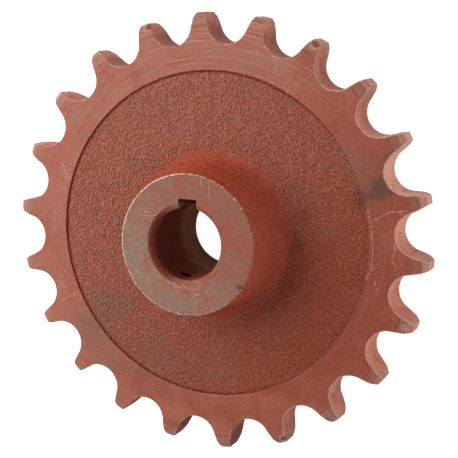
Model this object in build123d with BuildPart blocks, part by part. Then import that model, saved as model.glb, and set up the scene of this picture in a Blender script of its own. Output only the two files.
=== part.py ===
from build123d import *
import os
from math import cos, pi, sin

# Chain sprocket for one-inch roller chain: 22 teeth, web and hub cast in one piece of grey iron.
# The rim faces, the tooth crowns, the hub face and the keyed bore are machined, the web and the
# outside of the hub are left as cast.
# Millimetres. +Z is the bore axis, Z = 0 is the back face of the hub, +Y runs up the keyway.

# Chain and teeth
CHAIN_PITCH = 25.4
TEETH = 22
SEAT_RADIUS = 9.05
SEAT_HALF_ANGLE = 72.5
TIP_RADIUS = 93.8
TIP_LAND = 3.3
GAP_LEAD = 2.5
CUTTER_RADIUS = 98.5

# Rim and web
RIM_WIDTH = 16.0
WEB_RADIUS = 69.3
WEB_RECESS = 0.8
RECESS_SLOPE = 0.6

# Crown of the teeth: a shallow cone, then a rounded shoulder, turned in two passes on each side
CONE_START = 87.4
CROWN_START = 91.1
PASS_STEP = 0.2
CONE_DROP = 0.75
CROWN_DEPTH = 4.3
CROWN_RADIUS = 6.5

# Hub, with a moulder's taper on the long side and on the short boss behind
HUB_LENGTH = 45.0
BACK_BOSS = 3.5
HUB_FACE_RADIUS = 29.2
HUB_ROOT_RADIUS = 30.6
HUB_FILLET = 8.0
BOSS_FACE_RADIUS = 29.5
BOSS_ROOT_RADIUS = 31.5
EDGE_BREAK = 0.4

# Bore, keyway and locking-screw hole
BORE_RADIUS = 15.0
FRONT_CHAMFER = 1.6
FRONT_CHAMFER_DEPTH = 1.0
BACK_CHAMFER = 0.5
KEY_WIDTH = 8.0
KEY_FLOOR = 18.5
SCREW_HOLE_RADIUS = 2.5
SCREW_HOLE_DEPTH = 9.4
SCREW_HOLE_ANGLE = -103.0

# Worked out from the above
PITCH_RADIUS = CHAIN_PITCH / (2 * sin(pi / TEETH))
RIM_BACK = BACK_BOSS
RIM_FRONT = RIM_BACK + RIM_WIDTH
WEB_BACK = RIM_BACK + WEB_RECESS
WEB_FRONT = RIM_FRONT - WEB_RECESS


def on_circle(radius, angle):
    """Point at a radius, angle in radians from +X."""
    return (radius * cos(angle), radius * sin(angle))


def crown(face, inward):
    """Corners of one tooth side from the flat face to the tip, inward is -1 in front, +1 behind."""
    first_step = face + inward * PASS_STEP
    cone_end = first_step + inward * CONE_DROP
    return [
        (CONE_START, face),
        (CONE_START, first_step),
        (CROWN_START, cone_end),
        (CROWN_START, cone_end + inward * PASS_STEP),
        (TIP_RADIUS, face + inward * CROWN_DEPTH),
    ]


# One chain gap: a seat arc about the roller centre, and a flank arc each side that leaves it
# smoothly and reaches the tip circle half a tip land from the middle of the tooth.
with BuildSketch() as gap:
    with BuildLine():
        seat = CenterArc((PITCH_RADIUS, 0), SEAT_RADIUS, 180 - SEAT_HALF_ANGLE, 2 * SEAT_HALF_ANGLE)
        tip_angle = pi / TEETH - TIP_LAND / 2 / TIP_RADIUS
        tip_left = on_circle(TIP_RADIUS, tip_angle)
        tip_right = on_circle(TIP_RADIUS, -tip_angle)
        TangentArc(seat @ 0, tip_left, tangent=(seat % 0) * -1)
        TangentArc(seat @ 1, tip_right, tangent=seat % 1)
        outside_left = on_circle(CUTTER_RADIUS, tip_angle)
        outside_right = on_circle(CUTTER_RADIUS, -tip_angle)
        Polyline(tip_left, outside_left, outside_right, tip_right)
    make_face()

with BuildPart() as chain_sprocket:
    # Turned and cast section, spun about the bore axis
    with BuildSketch(Plane.XZ) as section:
        with BuildLine():
            front_crown = crown(RIM_FRONT, -1)
            back_crown = crown(RIM_BACK, 1)
            Polyline(
                (BORE_RADIUS, BACK_CHAMFER),
                (BORE_RADIUS + BACK_CHAMFER, 0),
                (BOSS_FACE_RADIUS - EDGE_BREAK, 0),
                (BOSS_FACE_RADIUS, EDGE_BREAK),
                (BOSS_ROOT_RADIUS, WEB_BACK),
                (WEB_RADIUS - RECESS_SLOPE, WEB_BACK),
                (WEB_RADIUS, RIM_BACK),
                *back_crown[:4],
            )
            RadiusArc(back_crown[3], back_crown[4], -CROWN_RADIUS)
            Line(back_crown[4], front_crown[4])
            RadiusArc(front_crown[4], front_crown[3], -CROWN_RADIUS)
            Polyline(
                *front_crown[3::-1],
                (WEB_RADIUS, RIM_FRONT),
                (WEB_RADIUS - RECESS_SLOPE, WEB_FRONT),
                (HUB_ROOT_RADIUS, WEB_FRONT),
                (HUB_FACE_RADIUS, HUB_LENGTH - EDGE_BREAK),
                (HUB_FACE_RADIUS - EDGE_BREAK, HUB_LENGTH),
                (BORE_RADIUS + FRONT_CHAMFER, HUB_LENGTH),
                (BORE_RADIUS, HUB_LENGTH - FRONT_CHAMFER_DEPTH),
                (BORE_RADIUS, BACK_CHAMFER),
            )
        make_face()
        fillet(section.vertices().sort_by_distance((HUB_ROOT_RADIUS, WEB_FRONT))[0], HUB_FILLET)
    revolve(axis=Axis.Z)

    # Chain gaps, the first one a little before the keyway, which isn't timed to the teeth
    with BuildSketch(Plane.XY) as gaps:
        with PolarLocations(0, TEETH, start_angle=90 - GAP_LEAD):
            add(gap.sketch)
    extrude(amount=HUB_LENGTH, mode=Mode.SUBTRACT)

    # Keyway, broached through the whole hub
    with BuildSketch(Plane.XY) as keyway:
        with Locations((0, KEY_FLOOR / 2)):
            Rectangle(KEY_WIDTH, KEY_FLOOR)
    extrude(amount=HUB_LENGTH, mode=Mode.SUBTRACT)

    # Locking-screw hole, drilled through one wall of the hub, nearly opposite the keyway
    hole_line = Vector(1, 0, 0).rotate(Axis.Z, SCREW_HOLE_ANGLE)
    hole_start = Vector(0, 0, HUB_LENGTH - SCREW_HOLE_DEPTH)
    with BuildSketch(Plane(origin=hole_start, x_dir=(0, 0, 1), z_dir=hole_line)) as screw_hole:
        Circle(SCREW_HOLE_RADIUS)
    extrude(amount=HUB_ROOT_RADIUS + HUB_FILLET, mode=Mode.SUBTRACT)

os.makedirs("parts", exist_ok=True)
chain_sprocket.part.label = "chain_sprocket"
export_step(chain_sprocket.part, "parts/chain_sprocket.step")
box = chain_sprocket.part.bounding_box()
print("size", box.size, "volume", round(chain_sprocket.part.volume), "valid", chain_sprocket.part.is_valid)
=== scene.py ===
# %% [markdown]
# # A chain sprocket cast in grey iron, in red-oxide primer
# The real object is one casting. A moulder packs sand round a wooden pattern and pours the iron. A
# turner then faces the rim, shapes the tooth crowns and bores the hub, a cutter makes the teeth, and
# a broach pulls the keyway. Last comes a thin coat of primer, which handling rubs and dirties.
# The script makes the shape in about that order, because each step leaves its own marks on it.
#
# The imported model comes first. It fixes the size, the place and the direction of everything below.

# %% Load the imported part
from math import acos, atan2, cos, floor, hypot, pi, radians, sin, sqrt, tan

import bmesh
import bpy
from mathutils import Matrix, Vector, noise
from mathutils.kdtree import KDTree


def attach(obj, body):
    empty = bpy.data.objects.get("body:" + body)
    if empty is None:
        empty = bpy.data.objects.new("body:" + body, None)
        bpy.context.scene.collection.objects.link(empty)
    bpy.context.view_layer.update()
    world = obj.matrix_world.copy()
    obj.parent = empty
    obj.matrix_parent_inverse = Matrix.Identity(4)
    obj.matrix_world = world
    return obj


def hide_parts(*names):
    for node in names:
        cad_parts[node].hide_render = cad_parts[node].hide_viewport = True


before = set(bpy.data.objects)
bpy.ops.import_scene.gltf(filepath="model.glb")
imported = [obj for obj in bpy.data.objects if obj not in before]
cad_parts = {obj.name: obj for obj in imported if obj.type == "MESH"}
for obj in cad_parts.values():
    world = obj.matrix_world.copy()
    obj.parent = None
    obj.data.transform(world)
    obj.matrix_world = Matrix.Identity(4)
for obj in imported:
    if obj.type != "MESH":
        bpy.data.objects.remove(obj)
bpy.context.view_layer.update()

print("parts in the packed model:", len(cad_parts))

# %% [markdown]
# The part's lengths are written in millimetres, as on a drawing, and multiplied by MM where Blender
# needs metres. Only the camera and the lamps are placed in metres.

# %% Millimetres
MM = 0.001

# %% [markdown]
# ## Camera
# The sprocket lies on the floor with the hub up, so the camera looks down on it from high on the
# right. A long lens a good half metre away keeps the perspective gentle, as in a catalogue picture.

# %% Camera
camera_data = bpy.data.cameras.new("camera")
camera_data.sensor_width = 36
camera_data.lens = 105.47
camera = bpy.data.objects.new("camera", camera_data)
camera.location = (0.21524, 0.10093, 0.53292)
camera.rotation_euler = (radians(-9.136), radians(22.308), radians(2.264))
bpy.context.scene.collection.objects.link(camera)
bpy.context.scene.camera = camera
bpy.context.scene.view_settings.view_transform = "Standard"
print("camera", round(camera.location.length * 1000), "mm from the middle of the back face")

# %% [markdown]
# ## Helpers for materials
# A procedural material is a small network of nodes. One function adds a node, sets it up and wires it,
# so that the network can be read from top to bottom like a recipe. Colours are written as a colour
# picker shows them, and patterns by the size of their features, so both are easy to check by eye.

# %% Colour, scale and node helpers
def colour(hex_code):
    """sRGB hex, as a colour picker shows it, to the linear values that a shader needs."""
    channels = [int(hex_code[i:i + 2], 16) / 255 for i in (1, 3, 5)]
    return [c / 12.92 if c <= 0.04045 else ((c + 0.055) / 1.055) ** 2.4 for c in channels] + [1.0]


def per_mm(size):
    """The scale that gives a texture features of a size in millimetres."""
    return 1 / (size * MM)


def add(tree, kind, settings=None, inputs=None):
    """Adds a node. settings are its properties, inputs its sockets, given a value or another socket."""
    node = tree.nodes.new(kind)
    for name, value in (settings or {}).items():
        setattr(node, name, value)
    for name, value in (inputs or {}).items():
        if isinstance(value, bpy.types.NodeSocket):
            tree.links.new(value, node.inputs[name])
        else:
            node.inputs[name].default_value = value
    return node


def start_finish(name):
    """A material with an empty network, and the place on the part in metres to begin it with."""
    material = bpy.data.materials.new(name)
    material.use_nodes = True
    material.node_tree.nodes.clear()
    return material, material.node_tree, add(material.node_tree, "ShaderNodeTexCoord").outputs["Object"]


# %% [markdown]
# ## Floor and light
# The floor is a sheet of white paper. It shines a little, but only for the camera and in reflections,
# so it looks white without throwing more light on the iron, and it still takes the object's shadow.

# %% Floor
floor_bm = bmesh.new()
bmesh.ops.create_grid(floor_bm, x_segments=1, y_segments=1, size=2.0)
floor_mesh = bpy.data.meshes.new("floor")
floor_bm.to_mesh(floor_mesh)
floor_bm.free()
floor_object = bpy.data.objects.new("floor", floor_mesh)
bpy.context.scene.collection.objects.link(floor_object)

PAPER_GLOW = 0.92
paper_white, tree, place = start_finish("white_background_paper")
paper = add(tree, "ShaderNodeBsdfDiffuse", inputs={"Color": (0.85, 0.85, 0.85, 1)})
rays = add(tree, "ShaderNodeLightPath")
seen = add(tree, "ShaderNodeMath", {"operation": "MAXIMUM"},
           {0: rays.outputs["Is Camera Ray"], 1: rays.outputs["Is Glossy Ray"]})
strength = add(tree, "ShaderNodeMath", {"operation": "MULTIPLY"}, {0: seen.outputs[0], 1: PAPER_GLOW})
glow = add(tree, "ShaderNodeEmission", inputs={"Strength": strength.outputs[0]})
both = add(tree, "ShaderNodeAddShader", inputs={0: paper.outputs[0], 1: glow.outputs[0]})
add(tree, "ShaderNodeOutputMaterial", inputs={"Surface": both.outputs[0]})
floor_mesh.materials.append(paper_white)
print(paper_white.name, "has", len(tree.nodes), "nodes")

# %% [markdown]
# A large soft box on the upper left models the form, and a weaker one low on the right opens the
# flanks of the teeth that turn away from it. A white room fills the rest. It is plain white to the
# camera and under half as strong as a light, or it would wash out the shadows that show the grain.

# %% Lamps
def soft_box(name, place, aim, size, power):
    """A square area lamp, a photographer's soft box, turned to face a point."""
    lamp = bpy.data.lights.new(name, "AREA")
    lamp.size = size
    lamp.energy = power
    box = bpy.data.objects.new(name, lamp)
    box.location = place
    box.rotation_euler = (Vector(aim) - Vector(place)).to_track_quat("-Z", "Y").to_euler()
    bpy.context.scene.collection.objects.link(box)


ROOM_LIGHT = 0.45
soft_box("key", (-0.36, 0.17, 0.43), (0, 0, 0.02), 0.48, 3.42)
soft_box("side", (0.50, -0.02, 0.15), (0, 0, 0.02), 0.30, 0.52)
world = bpy.data.worlds.new("white_room")
world.use_nodes = True
world.node_tree.nodes.clear()
room_rays = add(world.node_tree, "ShaderNodeLightPath")
room_strength = add(world.node_tree, "ShaderNodeMapRange",
                    inputs={"Value": room_rays.outputs["Is Camera Ray"], "To Min": ROOM_LIGHT, "To Max": 1.0})
room = add(world.node_tree, "ShaderNodeBackground",
           inputs={"Color": (1, 1, 1, 1), "Strength": room_strength.outputs[0]})
add(world.node_tree, "ShaderNodeOutputWorld", inputs={"Surface": room.outputs[0]})
bpy.context.scene.world = world
print("lamps:", [lamp.name for lamp in bpy.data.lights])

# %% [markdown]
# ## The turned blank
# A lathe makes round things, and Blender's spin is its lathe: half a section is drawn once and swept
# round the axis. A cylinder primitive could not hold the fillet, the recess of the web or the edges.
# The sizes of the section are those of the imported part.

# %% Sizes of the blank
RIM_BACK = 3.5
RIM_FRONT = 19.5
WEB_RADIUS = 69.3
WEB_RECESS = 0.8
RECESS_SLOPE = 0.6

HUB_LENGTH = 45.0
HUB_FACE_RADIUS = 29.2
HUB_ROOT_RADIUS = 30.6
HUB_FILLET = 8.0
BOSS_FACE_RADIUS = 29.5
BOSS_ROOT_RADIUS = 31.5
EDGE_BREAK = 0.4

BORE_RADIUS = 15.0
FRONT_CHAMFER = (1.6, 1.0)  # along the radius, along the axis
BACK_CHAMFER = 0.5

web_front = RIM_FRONT - WEB_RECESS
web_back = RIM_BACK + WEB_RECESS
print("the web is", round(web_front - web_back, 2), "mm thick")

# %% [markdown]
# Two operators draw the section. Extruding a vertex makes a straight line, and spinning one makes an
# arc. Both leave many points, so that the cast skin can be given its unevenness later.

# %% Lines and arcs
CELL = 0.98  # how far apart the points of the section lie, unless a line says otherwise


def line_to(bm, last, radius, height, cell=CELL):
    """Extrudes a vertex in even pieces to a point of the section, and returns the new last vertex."""
    start = last.co.copy()
    end = Vector((radius, 0, height)) * MM
    pieces = max(1, round((end - start).length / MM / cell))
    for i in range(1, pieces + 1):
        last = bmesh.ops.extrude_vert_indiv(bm, verts=[last])["verts"][0]
        last.co = start.lerp(end, i / pieces)
    return last


def arc_to(bm, last, centre_radius, centre_height, angle, pieces):
    """Spins a vertex about a centre in the section's plane, and returns the new last vertex."""
    centre = Vector((centre_radius, 0, centre_height)) * MM
    turned = bmesh.ops.spin(bm, geom=[last], cent=centre, axis=(0, 1, 0), angle=angle, steps=pieces)
    return [item for item in turned["geom_last"] if isinstance(item, bmesh.types.BMVert)][0]


# %% [markdown]
# The section starts at the step of the web, in front. It runs inwards over the web, up the hub, down
# through the bore, and out again behind. The hub's side leans a little, as a pattern's must to leave
# the sand, and the fillet at its foot is turned far enough to end in line with it.

# %% Half section
side_lean = atan2(HUB_ROOT_RADIUS - HUB_FACE_RADIUS, HUB_LENGTH - EDGE_BREAK - web_front)
fillet_angle = pi / 2 - side_lean
fillet_start = HUB_ROOT_RADIUS + HUB_FILLET * tan(fillet_angle / 2)
EDGE_BAND = 0.7

body = bmesh.new()
last = body.verts.new((WEB_RADIUS * MM, 0, RIM_FRONT * MM))
last = line_to(body, last, WEB_RADIUS - RECESS_SLOPE, web_front, 0.5)
last = line_to(body, last, fillet_start, web_front)
last = arc_to(body, last, fillet_start, web_front + HUB_FILLET, fillet_angle, 12)
last = line_to(body, last, HUB_FACE_RADIUS + EDGE_BAND * tan(side_lean),
               HUB_LENGTH - EDGE_BREAK - EDGE_BAND, 1.2)
last = line_to(body, last, HUB_FACE_RADIUS, HUB_LENGTH - EDGE_BREAK, 0.8)
last = line_to(body, last, HUB_FACE_RADIUS - EDGE_BREAK, HUB_LENGTH, 0.3)
last = line_to(body, last, HUB_FACE_RADIUS - EDGE_BREAK - EDGE_BAND, HUB_LENGTH, 0.8)
last = line_to(body, last, BORE_RADIUS + FRONT_CHAMFER[0], HUB_LENGTH, 1.3)
last = line_to(body, last, BORE_RADIUS, HUB_LENGTH - FRONT_CHAMFER[1], 0.7)
last = line_to(body, last, BORE_RADIUS, BACK_CHAMFER, 2.6)
last = line_to(body, last, BORE_RADIUS + BACK_CHAMFER, 0, 0.5)
last = line_to(body, last, BOSS_FACE_RADIUS - EDGE_BREAK, 0, 2.0)
last = line_to(body, last, BOSS_FACE_RADIUS, EDGE_BREAK, 0.5)
last = line_to(body, last, BOSS_ROOT_RADIUS, web_back, 1.0)
last = line_to(body, last, WEB_RADIUS - RECESS_SLOPE, web_back, 2.0)
last = line_to(body, last, WEB_RADIUS, RIM_BACK, 0.5)
print("points on the half section:", len(body.verts))

# %% [markdown]
# The spin takes 22 steps for each tooth, because the teeth need them later. A full turn ends where it
# began, so its last section lies on the first. use_merge and remove_doubles join the two into a closed
# skin.

# %% Spin it
TEETH = 22
STEPS_PER_TOOTH = 22
AROUND = TEETH * STEPS_PER_TOOTH

bmesh.ops.spin(body, geom=body.verts[:] + body.edges[:], cent=(0, 0, 0), axis=(0, 0, 1),
               angle=2 * pi, steps=AROUND, use_merge=True)
bmesh.ops.remove_doubles(body, verts=body.verts, dist=0.001 * MM)
print("after the spin:", len(body.verts), "vertices,", len(body.faces), "faces")

# %% [markdown]
# ## The teeth
# Round each roller's centre the cutter leaves a seat, which is an arc, and then a flank on each side,
# a larger arc that starts out in line with the seat. Cutting 22 gaps with a Boolean would give ragged
# triangles, so the rim is grown outwards instead, in rows of even quads that end on the outline.

# %% Tooth outline
PITCH = 25.4
PITCH_RADIUS = PITCH / (2 * sin(pi / TEETH))
SEAT_RADIUS = 9.05
SEAT_HALF_ANGLE = radians(72.5)
TIP_RADIUS = 93.8
TIP_LAND = 3.3

seat_end = Vector((PITCH_RADIUS - SEAT_RADIUS * cos(SEAT_HALF_ANGLE), SEAT_RADIUS * sin(SEAT_HALF_ANGLE)))
tip_angle = pi / TEETH - TIP_LAND / 2 / TIP_RADIUS
tip_corner = Vector((cos(tip_angle), sin(tip_angle))) * TIP_RADIUS
into_tooth = Vector((-cos(SEAT_HALF_ANGLE), sin(SEAT_HALF_ANGLE)))
chord = tip_corner - seat_end
flank_radius = chord.length_squared / (2 * chord.dot(into_tooth))
flank_centre = seat_end + into_tooth * flank_radius
root_radius = seat_end.length
print("flank radius", round(flank_radius, 2), "mm, the teeth start at radius", round(root_radius, 2), "mm")


def half_tooth(radius):
    """Half the angle that a tooth takes up at a radius."""
    away = flank_centre.length
    spread = acos((away ** 2 + radius ** 2 - flank_radius ** 2) / (2 * away * radius))
    return pi / TEETH - (atan2(flank_centre.y, flank_centre.x) - spread)


# %% [markdown]
# The edge of the rim has to meet the outline point for point. Of the 22 steps of a pitch, 16 are shared
# out over the seat and 6 go across the foot of the tooth. The second half of a pitch mirrors the first.

# %% Steps along the root
SEAT_STEPS = 8
ACROSS_TOOTH = STEPS_PER_TOOTH - 2 * SEAT_STEPS


def root_point(step):
    """Where a step of one pitch, counted from the bottom of a gap, lies on the teeth's root line."""
    if step > STEPS_PER_TOOTH / 2:
        x, y = root_point(STEPS_PER_TOOTH - step)
        turn = 2 * pi / TEETH
        return x * cos(turn) + y * sin(turn), x * sin(turn) - y * cos(turn)
    if step <= SEAT_STEPS:
        angle = SEAT_HALF_ANGLE * step / SEAT_STEPS
        return PITCH_RADIUS - SEAT_RADIUS * cos(angle), SEAT_RADIUS * sin(angle)
    across = (step - SEAT_STEPS) / ACROSS_TOOTH
    angle = pi / TEETH + half_tooth(root_radius) * (2 * across - 1)
    return root_radius * cos(angle), root_radius * sin(angle)


print("the bottom of a gap is", round(root_point(0)[0], 2), "mm from the axis")

# %% [markdown]
# The turner runs three passes over each face of the blank: a flat one, a shallow cone and a round
# shoulder. Each pass starts a hair lower than the one before, and that leaves a fine step.

# %% Crown sizes
CONE_START = 87.4
CROWN_START = 91.1
PASS_STEP = 0.2
CONE_DROP = 0.75
CROWN_DEPTH = 4.3
CROWN_RADIUS = 6.5
STEP_RUN = 0.12

shoulder = Vector((TIP_RADIUS - CROWN_START, CROWN_DEPTH - CONE_DROP - 2 * PASS_STEP))
shoulder_bow = acos(sqrt(1 - (shoulder.length / 2 / CROWN_RADIUS) ** 2))
shoulder_first = atan2(shoulder.y, shoulder.x) - shoulder_bow


def crown_depth(radius):
    """How far the crown lies below the flat of the rim, at a radius."""
    if radius <= CONE_START:
        return 0.0
    if radius <= CROWN_START:
        step = min(1.0, (radius - CONE_START) / STEP_RUN)
        return PASS_STEP * step + CONE_DROP * (radius - CONE_START) / (CROWN_START - CONE_START)
    step = min(1.0, (radius - CROWN_START) / STEP_RUN)
    along = CROWN_RADIUS * sin(shoulder_first) + (radius - CROWN_START)
    drop = CROWN_RADIUS * cos(shoulder_first) - sqrt(max(0.0, CROWN_RADIUS ** 2 - along ** 2))
    return PASS_STEP * (1 + step) + CONE_DROP + drop


# The rows of quads lie closer together where the crown bends.
tooth_rows = [CONE_START, CONE_START + STEP_RUN, 88.4, 89.3, 90.2, CROWN_START, CROWN_START + STEP_RUN,
              91.7, 92.3, 92.85, 93.4, TIP_RADIUS]
print("crown depth at the tip:", round(crown_depth(TIP_RADIUS), 2), "mm")

# %% [markdown]
# Three small helpers come first. They find the tooth that a point belongs to, the vertices in what an
# operator returns, and the open edges at a height.

# %% Find teeth, vertices and open edges
def tooth_place(point):
    """The middle angle of the tooth that a point belongs to, and the point's angle from there."""
    pitch = 2 * pi / TEETH
    angle = atan2(point.y, point.x) % (2 * pi)
    middle = (floor(angle / pitch) + 0.5) * pitch
    return middle, angle - middle


def verts_in(items):
    return {item for item in items if isinstance(item, bmesh.types.BMVert)}


def open_edges(bm, height):
    """The edges at a height that have a face on one side only."""
    return [e for e in bm.edges if e.is_boundary and all(abs(v.co.z - height * MM) < 1e-7 for v in e.verts)]


# %% [markdown]
# The outline is still flat here. The last row of the web is extruded out to the root line and
# divided, and then each tooth is extruded row by row, every row drawn in to the flank's arc.

# %% Grow the rim and the teeth
RIM_CUTS = 11


def grow_face(bm, height):
    """Adds one side of the rim as a flat sheet, from the web's edge out to the tips of the teeth."""
    grown = bmesh.ops.extrude_edge_only(bm, edges=open_edges(bm, height))["geom"]
    outer = verts_in(grown)
    rungs = {e for v in outer for e in v.link_edges if e.other_vert(v) not in outer}
    for vert in outer:
        step = round(atan2(vert.co.y, vert.co.x) % (2 * pi) / (2 * pi) * AROUND) % AROUND
        tooth = step // STEPS_PER_TOOTH * 2 * pi / TEETH
        x, y = root_point(step % STEPS_PER_TOOTH)
        vert.co = Vector((x * cos(tooth) - y * sin(tooth), x * sin(tooth) + y * cos(tooth), height)) * MM
    bmesh.ops.subdivide_edges(bm, edges=list(rungs), cuts=RIM_CUTS, use_grid_fill=True)
    row = []
    for edge in open_edges(bm, height):
        from_middle = tooth_place((edge.verts[0].co + edge.verts[1].co) / 2)[1]
        if abs(from_middle) < half_tooth(root_radius):
            row.append(edge)
    radius_before = root_radius
    for radius in tooth_rows:
        grown = bmesh.ops.extrude_edge_only(bm, edges=row)["geom"]
        new = verts_in(grown)
        for vert in new:
            middle, from_middle = tooth_place(vert.co)
            angle = middle + from_middle * half_tooth(radius) / half_tooth(radius_before)
            vert.co = Vector((radius * cos(angle), radius * sin(angle), height)) * MM
        row = [item for item in grown if isinstance(item, bmesh.types.BMEdge) and set(item.verts) <= new]
        radius_before = radius


grow_face(body, RIM_FRONT)
grow_face(body, RIM_BACK)
print("with both faces of the rim:", len(body.verts), "vertices,", len(body.faces), "faces")

# %% [markdown]
# The two sheets have the same outline, so a bridge between them makes the seats, the flanks and the
# tips in one go. Cuts across the bridge give the walls rows of their own, which the crowns and the
# bruises can bend later.

# %% Walls of the teeth
WALL_CUTS = 11
RIM_HALF = (RIM_FRONT - RIM_BACK) / 2

bridge = bmesh.ops.bridge_loops(body, edges=open_edges(body, RIM_FRONT) + open_edges(body, RIM_BACK))
rungs = [e for e in bridge["edges"] if abs(e.verts[0].co.z - e.verts[1].co.z) > RIM_HALF * MM]
bmesh.ops.subdivide_edges(body, edges=rungs, cuts=WALL_CUTS, use_grid_fill=True)
bmesh.ops.recalc_face_normals(body, faces=body.faces)
print("open edges left:", sum(e.is_boundary for e in body.edges), "faces:", len(body.faces))

# %% [markdown]
# A cut edge is never knife sharp. A small bevel catches the light, and its vertices also get a number,
# edge_wear, which the finishes read to rub the primer off where hands and chain touch first.

# %% Rounded edges
ROUNDING = 0.3
SHARP = radians(50)

sharp = []
for edge in body.edges:
    middle = (edge.verts[0].co + edge.verts[1].co) / 2 / MM
    if hypot(middle.x, middle.y) > WEB_RADIUS + 5 and edge.calc_face_angle() > SHARP:
        sharp.append(edge)
edge_wear = body.verts.layers.float.new("edge_wear")
rounded = bmesh.ops.bevel(body, geom=sharp, offset=ROUNDING * MM, segments=2, profile=0.5,
                          affect="EDGES", clamp_overlap=True, material=-1)
for face in rounded["faces"]:
    for vert in face.verts:
        vert[edge_wear] = 1.0
print("rounded", len(sharp), "edges, now", len(body.faces), "faces")

# %% [markdown]
# Now the lathe's cone and shoulder. The crown is the same on both sides, so each column of vertices
# is squeezed towards the middle of the rim until its ends lie on the crown. The bevelled edges are
# squeezed with it and stay whole. Then the gaps turn to the angle at which they stand to the keyway.

# %% Turn the crowns
RIM_MIDDLE = (RIM_BACK + RIM_FRONT) / 2
FIRST_GAP = radians(87.5)

for vert in body.verts:
    radius = hypot(vert.co.x, vert.co.y) / MM
    if radius > CONE_START:
        squeeze = 1 - crown_depth(radius) / RIM_HALF
        vert.co.z = (RIM_MIDDLE + (vert.co.z / MM - RIM_MIDDLE) * squeeze) * MM
bmesh.ops.rotate(body, verts=body.verts, cent=(0, 0, 0), matrix=Matrix.Rotation(FIRST_GAP, 3, "Z"))
print("rim at the tips:", round(2 * (RIM_HALF - crown_depth(TIP_RADIUS)), 2), "mm wide")

# %% [markdown]
# ## What casting and use did to the shape
# Sand moulds and wooden cores are never dead true. The core that shaped the hub sat a little to one
# side, so the hub is a hair off centre. The web lay out of square when the rim was faced, so it is
# over half a millimetre deep on one side and flush on the other. The edge of its step is a little
# ragged, and the chamfer of the bore is wider on one side. All this is under a millimetre, too little
# to rebuild the section for, so the vertices are moved.

# %% Out of true
def ease(low, high, value):
    """Rises smoothly from 0 at low to 1 at high."""
    t = min(1.0, max(0.0, (value - low) / (high - low)))
    return t * t * (3 - 2 * t)


SAME = 0.01  # lengths that differ by less are taken as the same
FRONT_HALF = 15
HUB_SHIFT = (0.16, -0.28)
SHIFT_INSIDE, SHIFT_OUTSIDE = (18, 27), (46, 34)  # radii from no shift to all of it
RAISED, TILT = 0.50, 0.29
RAISED_FROM = (33, 45)
FLUSH_SIDE = radians(-10)
BACK_SHARE = 0.8
RAGGED_DEPTH, RAGGED_SIZE = 0.16, 2.2
CHAMFER_WIDER, CHAMFER_OFFSET = 0.1, 0.45
CHAMFER_SIDE = radians(190)

for vert in body.verts:
    x, y, z = vert.co / MM
    radius, angle = hypot(x, y), atan2(y, x)
    if radius < SHIFT_OUTSIDE[0] and z > FRONT_HALF:
        share = ease(*SHIFT_INSIDE, radius) * ease(*SHIFT_OUTSIDE, radius)
        vert.co.x += HUB_SHIFT[0] * share * MM
        vert.co.y += HUB_SHIFT[1] * share * MM
    if RAISED_FROM[0] < radius <= WEB_RADIUS + SAME:
        raise_web = RAISED + TILT * cos(angle - FLUSH_SIDE) * radius / WEB_RADIUS
        raise_web *= ease(*RAISED_FROM, radius)
        if z > RIM_MIDDLE:
            vert.co.z += raise_web * min(1, (RIM_FRONT - z) / WEB_RECESS) * MM
        else:
            vert.co.z -= raise_web * BACK_SHARE * min(1, (z - RIM_BACK) / WEB_RECESS) * MM
    if z < RIM_FRONT + SAME and WEB_RADIUS - 1 < radius < WEB_RADIUS + SAME:
        vert.co.xy *= 1 + RAGGED_DEPTH * noise.noise(vert.co / (RAGGED_SIZE * MM)) / radius
    if z > HUB_LENGTH - SAME and abs(radius - BORE_RADIUS - FRONT_CHAMFER[0]) < 0.1:
        vert.co.xy *= 1 + (CHAMFER_WIDER + CHAMFER_OFFSET * cos(angle - CHAMFER_SIDE)) / radius
print("depth of the web in mm:", [round(WEB_RECESS - RAISED + side * TILT, 2) for side in (-1, 1)])

# %% [markdown]
# The skin of a sand casting swells and sinks by a tenth of a millimetre or two. Noise moves each
# vertex of the cast surfaces along its normal, in one slow swell and one faster one. The turned and
# cut faces stay true, and so does the back of the web.

# %% Cast skin
SWELLS = ((0.13, 11), (0.07, 4))  # height and size
SKIN_FROM = 4.5  # above the back of the web

body.normal_update()
moved = 0
for vert in body.verts:
    x, y, z = vert.co / MM
    radius = hypot(x, y)
    on_side = SKIN_FROM < z < HUB_LENGTH - 1 and radius > BORE_RADIUS + 5
    share = ease(WEB_RADIUS - 0.5, WEB_RADIUS - 4, radius) if on_side else 0
    if share:
        swell = sum(height * noise.noise(vert.co / (size * MM)) for height, size in SWELLS)
        vert.co += vert.normal * swell * share * MM
        moved += 1
print("moved", moved, "vertices of the cast skin")

# %% [markdown]
# The tips of the teeth get knocked. Each bruise is a place, a size and a depth, all in millimetres.
# Its vertices sink along their normals, with noise to make the floor of the dent rough. Some tips are
# also worn flat, at a smaller radius. All of it goes inwards, so the part never grows.

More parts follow.
